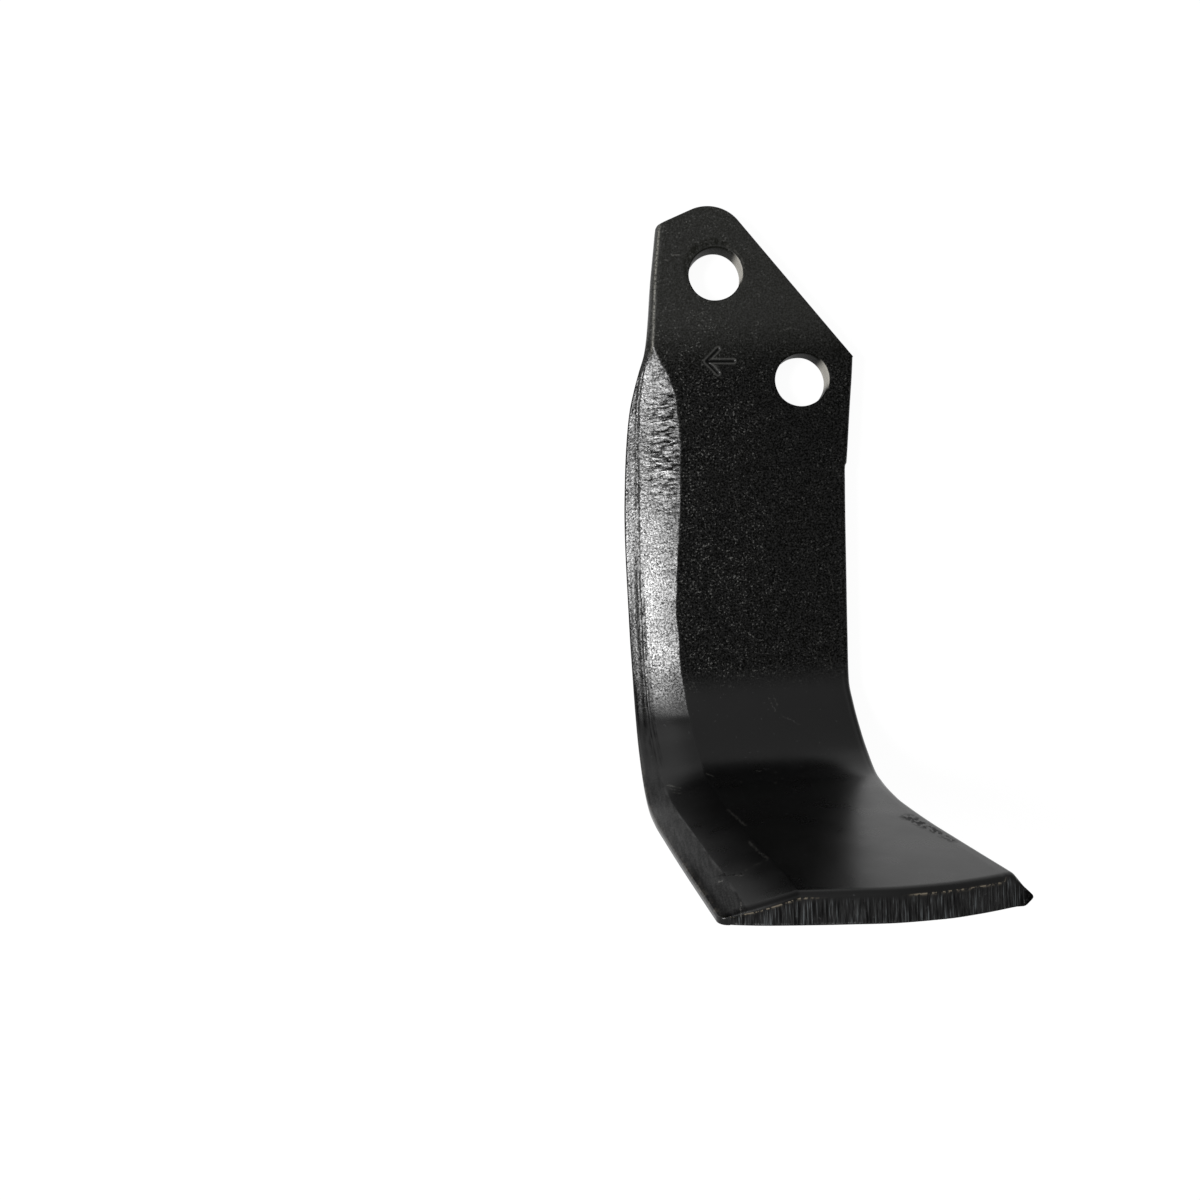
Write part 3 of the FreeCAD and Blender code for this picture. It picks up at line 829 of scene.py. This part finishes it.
# grain: 1 where the rolled and forged skin is rough, 0 where it is drawn smooth
late = 7.0 * on_bevel
to_stamp = np.full(len(F), 9.0)
near = (K == 0) & (np.abs(a - STAMP_C[0]) < 8) & (np.abs(b - STAMP_C[1]) < 9)
to_stamp[near] = np.minimum.reduce([seg_dist(a[near], b[near], q) for q in STAMP])
in_stamp = 1 - smooth(to_stamp, 0.25, 0.6)
attribute("grain", (1 - smooth(b - late, -9, 3)) * (1 - 0.8 * in_stamp))
attribute("stamp", hump(to_stamp, 0.74, 0.24))
attribute("stamp_floor", in_stamp)
attribute("cut", (K == 3).astype(float))
attribute("inner", is_in)
attribute("groove", is_in * np.clip(grooves(a, b), 0, 1))
ridge, share = creases(a, b)
attribute("crease", is_in * np.clip(-ridge, -1, 1))
attribute("creased", is_in * share)
attribute("facet", is_in * smooth(fold(b) - a, -0.6, 0.4) * smooth(b, -112, -100))
attribute("inward", is_in * smooth(a, crest(b) - 8.0, crest(b)))
# outer facet of the wing's bevel: drawn duller than the rest, dark beside the edge
on_strip = is_in * smooth(fold(b) + 0.35 * noise(b / 1.6, 0.3, 62) + 0.3 * noise(b / 5.0, 0.6, 63) - a, -0.25, 0.35) * smooth(b, 18, 40)
attribute("strip", on_strip)
attribute("strip_dark", on_strip * smooth(b, 72, 96) * (1 - smooth(a - lead(b), 2.0, 3.4)))
# paint worn from the cutting edge and from the rim of the sheared end
to_edge = np.hypot(a - lead_cut(b), np.clip(w + HALF - edge_t(b), -9, 0.6) - 0.3)
attribute("worn", np.clip(hump(to_edge, 0.0, 0.42) * smooth(b, 12, 30), 0, 1))
burr = np.zeros(mesh.n)
ra = np.concatenate(mesh.f)[top_idx[-1], 0]
burr[top_idx[-1]] = 0.25 + 0.75 * np.maximum(1 - smooth(ra, -2, 8), smooth(ra, 18, 24) * (1 - smooth(ra, 44, 48)))
attribute("burr", burr[src])
to_back = back(b) + nose(b) * 0.0 - a
# painted highlight: a bright dotted line along the rounded leading edge of the upper shank, standing in for the
# key light's reflection there
edge_highlight_line = lead(b) + np.interp(b, [-175, -140, -120, -112], [1.1, 1.25, 1.8, 2.3])
attribute("edge_highlight_line", (K != 3) * (w > 0) * hump(a - edge_highlight_line, 0.0, 0.34) * smooth(b, -160, -146) * (1 - smooth(b, -112, -108)))
bore = np.zeros(len(F))
lit = np.zeros(len(F))
for ha, hb in hole_flat:
    rr, ang = np.hypot(a - ha, b - hb), np.arctan2(b - hb, a - ha)
    here = (rr < HOLE_R + 0.45) * 1.0
    bore = np.maximum(bore, here)
    lit = np.maximum(lit, here * smooth(np.cos(ang + 0.15), 0.80, 0.98) * (w > -3.9))
attribute("bore", bore)
attribute("bore_lit", lit)
attribute("rim", is_in * (hump(to_back, 0.6, 0.7) * 0.8 - 0.6 * hump(to_back, 2.1, 0.35)))

# ------------------------------------------------------------------- materials


def node(tree, kind, **inputs):
    n = tree.nodes.new(kind)
    for k_, v_ in inputs.items():
        setattr(n, k_, v_)
    return n


mat = bpy.data.materials.new("blade_paint")
mat.use_nodes = True
nt = mat.node_tree
nt.nodes.clear()
out = node(nt, "ShaderNodeOutputMaterial")
bsdf = node(nt, "ShaderNodeBsdfPrincipled")
bsdf.inputs["Specular IOR Level"].default_value = 0.42
nt.links.new(bsdf.outputs[0], out.inputs[0])


def link(a_, b_):
    nt.links.new(a_, b_)


def attr(name, vector=False):
    n = node(nt, "ShaderNodeAttribute", attribute_name=name)
    return n.outputs["Vector" if vector else "Fac"]


def math_node(op, x, y=0.0, z=None):
    n = node(nt, "ShaderNodeMath", operation=op)
    for sock, val in zip(n.inputs, (x, y, z)):
        if val is None:
            continue
        if isinstance(val, (int, float)):
            sock.default_value = val
        else:
            link(val, sock)
    return n.outputs[0]


def add(x, y):
    return math_node("ADD", x, y)


def mul(x, y):
    return math_node("MULTIPLY", x, y)


def tex(scale, detail=2.0, rough=0.5, stretch=None, dist=0.0):
    """Noise over the flat pattern, in cycles per mm."""
    src_ = attr("flat", True)
    if stretch is not None:
        m = node(nt, "ShaderNodeMapping")
        m.inputs["Scale"].default_value = stretch
        link(src_, m.inputs["Vector"])
        src_ = m.outputs[0]
    n = node(nt, "ShaderNodeTexNoise")
    n.inputs["Scale"].default_value = scale
    n.inputs["Detail"].default_value = detail
    n.inputs["Roughness"].default_value = rough
    n.inputs["Distortion"].default_value = dist
    link(src_, n.inputs["Vector"])
    return n.outputs["Fac"]


def remap(x, lo, hi, to_lo=0.0, to_hi=1.0):
    n = node(nt, "ShaderNodeMapRange")
    n.interpolation_type = "SMOOTHSTEP"
    link(x, n.inputs[0])
    for q_, val in zip((1, 2, 3, 4), (lo, hi, to_lo, to_hi)):
        n.inputs[q_].default_value = val
    return n.outputs[0]


def blend_col(fac, c0_, c1_):
    n = node(nt, "ShaderNodeMix", data_type="RGBA")
    link(fac, n.inputs[0])
    for sock, val in ((n.inputs[6], c0_), (n.inputs[7], c1_)):
        if isinstance(val, tuple):
            sock.default_value = val
        else:
            link(val, sock)
    return n.outputs[2]


grain, bevel_m, cut_m = attr("grain"), attr("bevel"), attr("cut")


def centred(x, lo, hi, amp=1.0):
    """A noise stretched to run from -amp to amp."""
    return remap(x, lo, hi, -amp, amp)


sep = node(nt, "ShaderNodeSeparateXYZ")
link(attr("flat", True), sep.inputs[0])
along = sep.outputs[1]
strip_m, worn_m, inner_m = attr("strip"), attr("worn"), attr("inner")
smooth_m = math_node("SUBTRACT", 1.0, grain)
shank_m = mul(grain, math_node("SUBTRACT", 1.0, bevel_m))
shine_m = mul(bevel_m, grain)


def vec(op, x, y):
    n = node(nt, "ShaderNodeVectorMath", operation=op)
    for sock, val in zip(n.inputs, (x, y)):
        if isinstance(val, tuple):
            sock.default_value = val
        else:
            link(val, sock)
    return n


plane = vec("MULTIPLY", attr("flat", True), (1.0, 1.0, 0.0)).outputs[0]
jag = node(nt, "ShaderNodeTexNoise")
jag.inputs["Scale"].default_value = 1.3
jag.inputs["Detail"].default_value = 2.0
link(plane, jag.inputs["Vector"])
jagged = vec("ADD", plane, vec("MULTIPLY", vec("SUBTRACT", jag.outputs["Color"], (0.5, 0.5, 0.5)).outputs[0],
                               (1.5, 1.5, 0.0)).outputs[0]).outputs[0]


def ring_arc(centre, r, a_from, a_to, width, strength, n=4):
    """Strokes along an arc round a hole, angles in degrees from across the bar."""
    t = [math.radians(a_from + (a_to - a_from) * k_ / n) for k_ in range(n + 1)]
    p = [(centre[0] + r * math.cos(q), centre[1] - r * math.sin(q)) for q in t]
    return [(p[k_], p[k_ + 1], width, strength) for k_ in range(n)]


def stroke(p0, p1, width, strength, src_=None):
    """A scratch or scuff from p0 to p1 of the flat pattern, in mm."""
    dx, dy = p1[0] - p0[0], p1[1] - p0[1]
    n2 = dx * dx + dy * dy + 1e-9
    rel = vec("SUBTRACT", src_ or jagged, (p0[0], p0[1], 0.0)).outputs[0]
    t = node(nt, "ShaderNodeVectorMath", operation="DOT_PRODUCT")
    link(rel, t.inputs[0])
    t.inputs[1].default_value = (dx / n2, dy / n2, 0.0)
    c = node(nt, "ShaderNodeClamp")
    link(t.outputs["Value"], c.inputs[0])
    sc = node(nt, "ShaderNodeVectorMath", operation="SCALE")
    sc.inputs[0].default_value = (dx, dy, 0.0)
    link(c.outputs[0], sc.inputs["Scale"])
    ln = node(nt, "ShaderNodeVectorMath", operation="LENGTH")
    link(vec("SUBTRACT", rel, sc.outputs[0]).outputs[0], ln.inputs[0])
    return remap(ln.outputs["Value"], 0.25 * width, width, strength, 0.0)


def strokes(rows_):
    total = None
    for r_ in rows_:
        one = stroke(*r_)
        total = one if total is None else math_node("MAXIMUM", total, one)
    return total


pale = strokes([
    ((-26.2, 34.2), (-22.4, 38.0), 0.30, 0.8), ((-25.6, 36.2), (-22.8, 39.4), 0.26, 0.6),
    ((-24.6, 39.2), (-22.6, 41.6), 0.26, 0.6), ((-16.1, 103.4), (-13.0, 105.5), 0.30, 0.6),
    ((-11.2, 64.8), (-9.6, 71.5), 0.55, 0.28), ((-9.7, 72.0), (-8.3, 77.8), 0.60, 0.42),
    ((-8.9, 88.6), (-7.8, 94.6), 0.50, 0.28), ((-7.6, 95.6), (-6.1, 101.2), 0.45, 0.25),
    ((-6.1, 101.4), (-12.1, 103.2), 0.40, 0.25), ((-15.1, 116.5), (-15.7, 120.1), 0.24, 0.9),
    ((8.8, 3.8), (10.6, 9.4), 0.22, 0.35), ((10.4, 3.2), (11.6, 7.5), 0.20, 0.28),
    ((12.0, 10.8), (17.9, 15.1), 0.22, 0.30), ((-12.1, -140.7), (-9.8, -140.4), 0.34, 0.8),
    ((-14.7, -139.2), (-13.6, -139.0), 0.30, 0.7), ((20.9, -113.7), (24.2, -114.6), 0.26, 0.45),
    ((24.2, -114.6), (27.6, -113.4), 0.26, 0.4), ((-4.3, 41.3), (-4.2, 41.5), 0.34, 0.9),
    ((5.4, 44.5), (5.7, 44.5), 0.40, 1.0), ((23.0, 46.5), (23.2, 46.5), 0.34, 0.9),
    ((-18.7, 103.8), (-18.2, 104.5), 0.40, 1.0), ((-14.2, 34.0), (-12.0, 36.0), 0.24, 0.5),
    ((1.2, 34.6), (2.6, 34.9), 0.24, 0.5), ((31.0, -38.0), (32.2, -29.0), 0.26, 0.35),
    ((2.5, -62.0), (3.4, -57.5), 0.24, 0.35), ((29.4, -10.0), (29.9, -4.0), 0.24, 0.3)]
    + ring_arc(hole_flat[0], 9.55, 8, 62, 0.55, 0.55))
pale = mul(mul(pale, inner_m), remap(tex(1.0, 2.0), 0.38, 0.56, 0.15, 1.0))
scuff = strokes([((34.8, 80.0), (41.0, 97.5), 3.1, 1.0), ((42.4, 99.0), (44.4, 105.0), 0.9, 0.8),
                 ((44.6, 108.0), (46.4, 119.0), 0.7, 0.6), ((-13.5, 104.6), (-18.4, 101.0), 0.9, 0.8)]
    + ring_arc(hole_flat[0], 10.3, 72, 172, 1.9, 1.0) + ring_arc(hole_flat[0], 9.5, 10, 72, 0.9, 0.8))
scuff = mul(mul(scuff, inner_m), remap(tex(0.8, 2.0, 0.6, (1.0, 0.55, 0.4)), 0.44, 0.56, 0.12, 1.0))

cloud = tex(0.05, 3.0, 0.6)
patch = tex(0.33, 2.0, 0.6)
speck = tex(1.7, 2.0, 0.7)
grit = centred(tex(1.35, 1.0, 0.5), 0.30, 0.70)
fleck = tex(1.55, 1.0, 0.5, dist=0.3)
pits = tex(0.9, 1.0, 0.5, dist=0.4)
streak = tex(1.0, 2.0, 0.6, (2.7, 0.2, 0.15), 0.2)
wrinkle = tex(1.0, 2.0, 0.55, (0.20, 1.20, 1.0), 0.45)
rub = tex(1.0, 2.0, 0.6, (1.6, 0.12, 1.0))

# paint: near black, with pale specks painted in as highlight glints of the rough forged skin
paint = blend_col(cloud, (0.0008, 0.0009, 0.0009, 1), (0.0018, 0.0017, 0.0015, 1))
glint = mul(mul(remap(fleck, 0.57, 0.76), grain), add(0.14, remap(patch, 0.35, 0.7, 0.0, 0.70)))
glint = mul(glint, remap(tex(0.09, 2.0, 0.6), 0.3, 0.7, 0.55, 1.35))
glint = mul(glint, remap(along, -118.0, -96.0, 0.6, 1.0))
# painted highlight: the glints are made brighter towards the leading edge, the side the key light falls from
glint = mul(glint, remap(sep.outputs[0], -16.0, 26.0, 2.1, 0.65))
paint = blend_col(mul(smooth_m, 0.62), paint, (0.0, 0.0, 0.0001, 1))
col = blend_col(mul(shank_m, remap(along, -98.0, -122.0)), paint, (0.0062, 0.0063, 0.0052, 1))
# painted glints blended into the base colour
col = blend_col(glint, col, (0.060, 0.060, 0.057, 1))
# tiny pale specks in the smooth paint of the bend and the wing
col = blend_col(mul(mul(smooth_m, remap(pits, 0.735, 0.77)), 0.4), col, (0.030, 0.031, 0.032, 1))
# streaks of the sheared end, lightened in colour as painted glints along its real striations, and the scuffs and
# scratches
striation_glint = mul(cut_m, remap(streak, 0.54, 0.74))
col = blend_col(striation_glint, col, (0.038, 0.043, 0.045, 1))
col = blend_col(mul(pale, 0.8), col, (0.055, 0.054, 0.050, 1))
# worn, brownish metal along the cutting edge and the rim of the sheared end
col = blend_col(mul(worn_m, remap(tex(0.7, 3.0, 0.7), 0.46, 0.66, 0.0, 0.8)), col, (0.090, 0.078, 0.060, 1))
burr = math_node("POWER", attr("burr"), 6.0)
col = blend_col(mul(burr, remap(tex(0.9, 2.0, 0.7), 0.44, 0.56)), col, (0.135, 0.115, 0.086, 1))
col = blend_col(mul(attr("stamp"), 0.9), col, (0.034, 0.034, 0.032, 1))
# painted highlight along the rounded leading edge of the upper shank, dotted by noise
col = blend_col(mul(attr("edge_highlight_line"), remap(tex(2.1, 3.0, 0.7), 0.36, 0.62)), col, (0.15, 0.146, 0.130, 1))
col = blend_col(attr("bore_lit"), col, (0.26, 0.25, 0.225, 1))
link(col, bsdf.inputs["Base Color"])

level = add(0.275, mul(shank_m, -0.185))
level = add(level, mul(shine_m, 0.105))
level = add(level, mul(shank_m, centred(speck, 0.30, 0.70, 0.14)))
level = add(level, mul(mul(shine_m, add(1.0, mul(attr("creased"), -0.65))), centred(speck, 0.32, 0.68, 0.34)))
level = add(level, mul(shine_m, centred(patch, 0.3, 0.7, 0.08)))
level = add(level, mul(attr("crease"), -0.30))
level = add(level, mul(attr("creased"), centred(wrinkle, 0.38, 0.62, 0.22)))
level = mul(level, add(1.0, mul(attr("creased"), remap(wrinkle, 0.47, 0.40, 0.0, -0.85))))
level = mul(level, add(1.0, mul(mul(attr("facet"), shine_m), remap(along, -62.0, -22.0, 0.0, -0.40))))
level = add(level, mul(remap(along, -104.0, -120.0), mul(shank_m, 0.15)))
level = mul(level, add(1.0, mul(attr("groove"), -0.86)))
level = mul(level, add(1.0, mul(strip_m, centred(rub, 0.35, 0.65, 0.26))))
level = mul(level, add(1.0, mul(strip_m, centred(speck, 0.32, 0.68, 0.30))))
level = mul(level, add(1.0, mul(strip_m, -0.46)))
level = mul(level, add(1.0, mul(mul(bevel_m, smooth_m), mul(remap(along, 26.0, 44.0), -0.28))))
level = mul(level, add(1.0, mul(mul(bevel_m, attr("inward")), -0.36)))
# the bevel loses its shine where the bend begins
fade = mul(mul(bevel_m, remap(along, -12.0, 5.0)), remap(along, 8.0, 16.0, 1.0, 0.0))
level = mul(level, add(1.0, mul(fade, -0.74)))
level = mul(level, add(1.0, mul(mul(bevel_m, remap(along, 4.0, 11.0)), remap(along, 22.0, 34.0, 0.55, 0.0))))
level = mul(level, remap(along, 24.0, 36.0, 1.13, 1.0))
level = mul(level, add(1.0, mul(attr("strip_dark"), -0.75)))
level = mul(level, add(1.0, mul(attr("rim"), -0.65)))
level = mul(level, add(1.0, mul(scuff, -0.85)))
level = add(level, mul(cut_m, centred(streak, 0.3, 0.7, 0.20)))
level = add(level, mul(attr("stamp"), 0.12))
level = mul(level, add(1.0, mul(attr("stamp_floor"), -0.8)))
level = mul(level, add(1.0, mul(attr("bore"), -0.97)))
level = math_node("MAXIMUM", level, 0.006)
link(level, bsdf.inputs["Specular IOR Level"])
rough = add(mul(grain, add(0.02, centred(patch, 0.3, 0.7, 0.03))),
            remap(tex(0.12, 2.0), 0.3, 0.7, 0.27, 0.31))
rough = add(rough, mul(math_node("MAXIMUM", math_node("MAXIMUM", cut_m, strip_m), scuff), 0.09))
link(rough, bsdf.inputs["Roughness"])
height = mul(grit, add(mul(shine_m, 0.20), 0.012))
height = add(height, mul(centred(pits, 0.3, 0.7), mul(smooth_m, 0.012)))
height = add(height, mul(cut_m, centred(streak, 0.3, 0.7, 0.8)))
height = add(height, mul(attr("creased"), centred(wrinkle, 0.34, 0.66, 0.5)))
height = add(height, mul(scuff, -0.5))
bump = node(nt, "ShaderNodeBump")
bump.inputs["Strength"].default_value = 1.0
bump.inputs["Distance"].default_value = 0.00005
link(height, bump.inputs["Height"])
link(bump.outputs[0], bsdf.inputs["Normal"])
data.materials.append(mat)

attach(blade, "root")
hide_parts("blade")

# ------------------------------------------------------ floor, light and camera
fm = bpy.data.materials.new("floor")
fm.use_nodes = True
fb = fm.node_tree.nodes["Principled BSDF"]
fb.inputs["Base Color"].default_value = (0.04, 0.04, 0.04, 1)
fb.inputs["Roughness"].default_value = 0.9
fb.inputs["Emission Color"].default_value = (1, 1, 1, 1)
fb.inputs["Emission Strength"].default_value = 0.95
fmesh = bpy.data.meshes.new("floor")
s = 3.0
fmesh.from_pydata([(-s, -s, -0.0002), (s, -s, -0.0002), (s, s, -0.0002), (-s, s, -0.0002)], [], [(0, 1, 2, 3)])
floor = bpy.data.objects.new("floor", fmesh)
fmesh.materials.append(fm)
bpy.context.collection.objects.link(floor)

scene = bpy.context.scene
scene.view_settings.view_transform = "Standard"
world = bpy.data.worlds.new("studio")
scene.world = world
world.use_nodes = True
wt = world.node_tree
bg = wt.nodes["Background"]
co_ = wt.nodes.new("ShaderNodeTexCoord")
sx = wt.nodes.new("ShaderNodeSeparateXYZ")
wt.links.new(co_.outputs["Generated"], sx.inputs[0])


sky = wt.nodes.new("ShaderNodeMapRange")
sky.interpolation_type = "SMOOTHSTEP"
for q_, val in zip((1, 2, 3, 4), (0.0, 0.30, 0.70, 0.52)):
    sky.inputs[q_].default_value = val
wt.links.new(sx.outputs["X"], sky.inputs[0])
wt.links.new(sky.outputs[0], bg.inputs[1])
bg.inputs[0].default_value = (1, 1, 1, 1)


def panel(name, tilt, turn, dist, wide, tall, radiance):
    """A soft light panel: tilt from overhead and turn round from +X, in degrees."""
    li = bpy.data.lights.new(name, "AREA")
    li.shape = "RECTANGLE"
    li.size, li.size_y = wide, tall
    li.energy = radiance * math.pi * wide * tall
    ob = bpy.data.objects.new(name, li)
    t, z = math.radians(tilt), math.radians(turn)
    d = Vector((math.sin(t) * math.cos(z), math.sin(t) * math.sin(z), math.cos(t)))
    aim = Vector((0.0, -0.08, 0.02))
    ob.location = aim + d * dist
    ob.rotation_euler = d.to_track_quat("Z", "Y").to_euler()
    ob.visible_camera = False
    bpy.context.collection.objects.link(ob)
    return ob


panel("key", 40, 184, 1.2, 0.34, 0.25, 62.0)

cam = bpy.data.cameras.new("camera")
cam.lens, cam.sensor_width = 31.5, 36.0
cam.clip_start = 0.01
co = bpy.data.objects.new("camera", cam)
co.location = (-0.03709, -0.10502, 0.34573)
bpy.context.collection.objects.link(co)
scene.camera = co
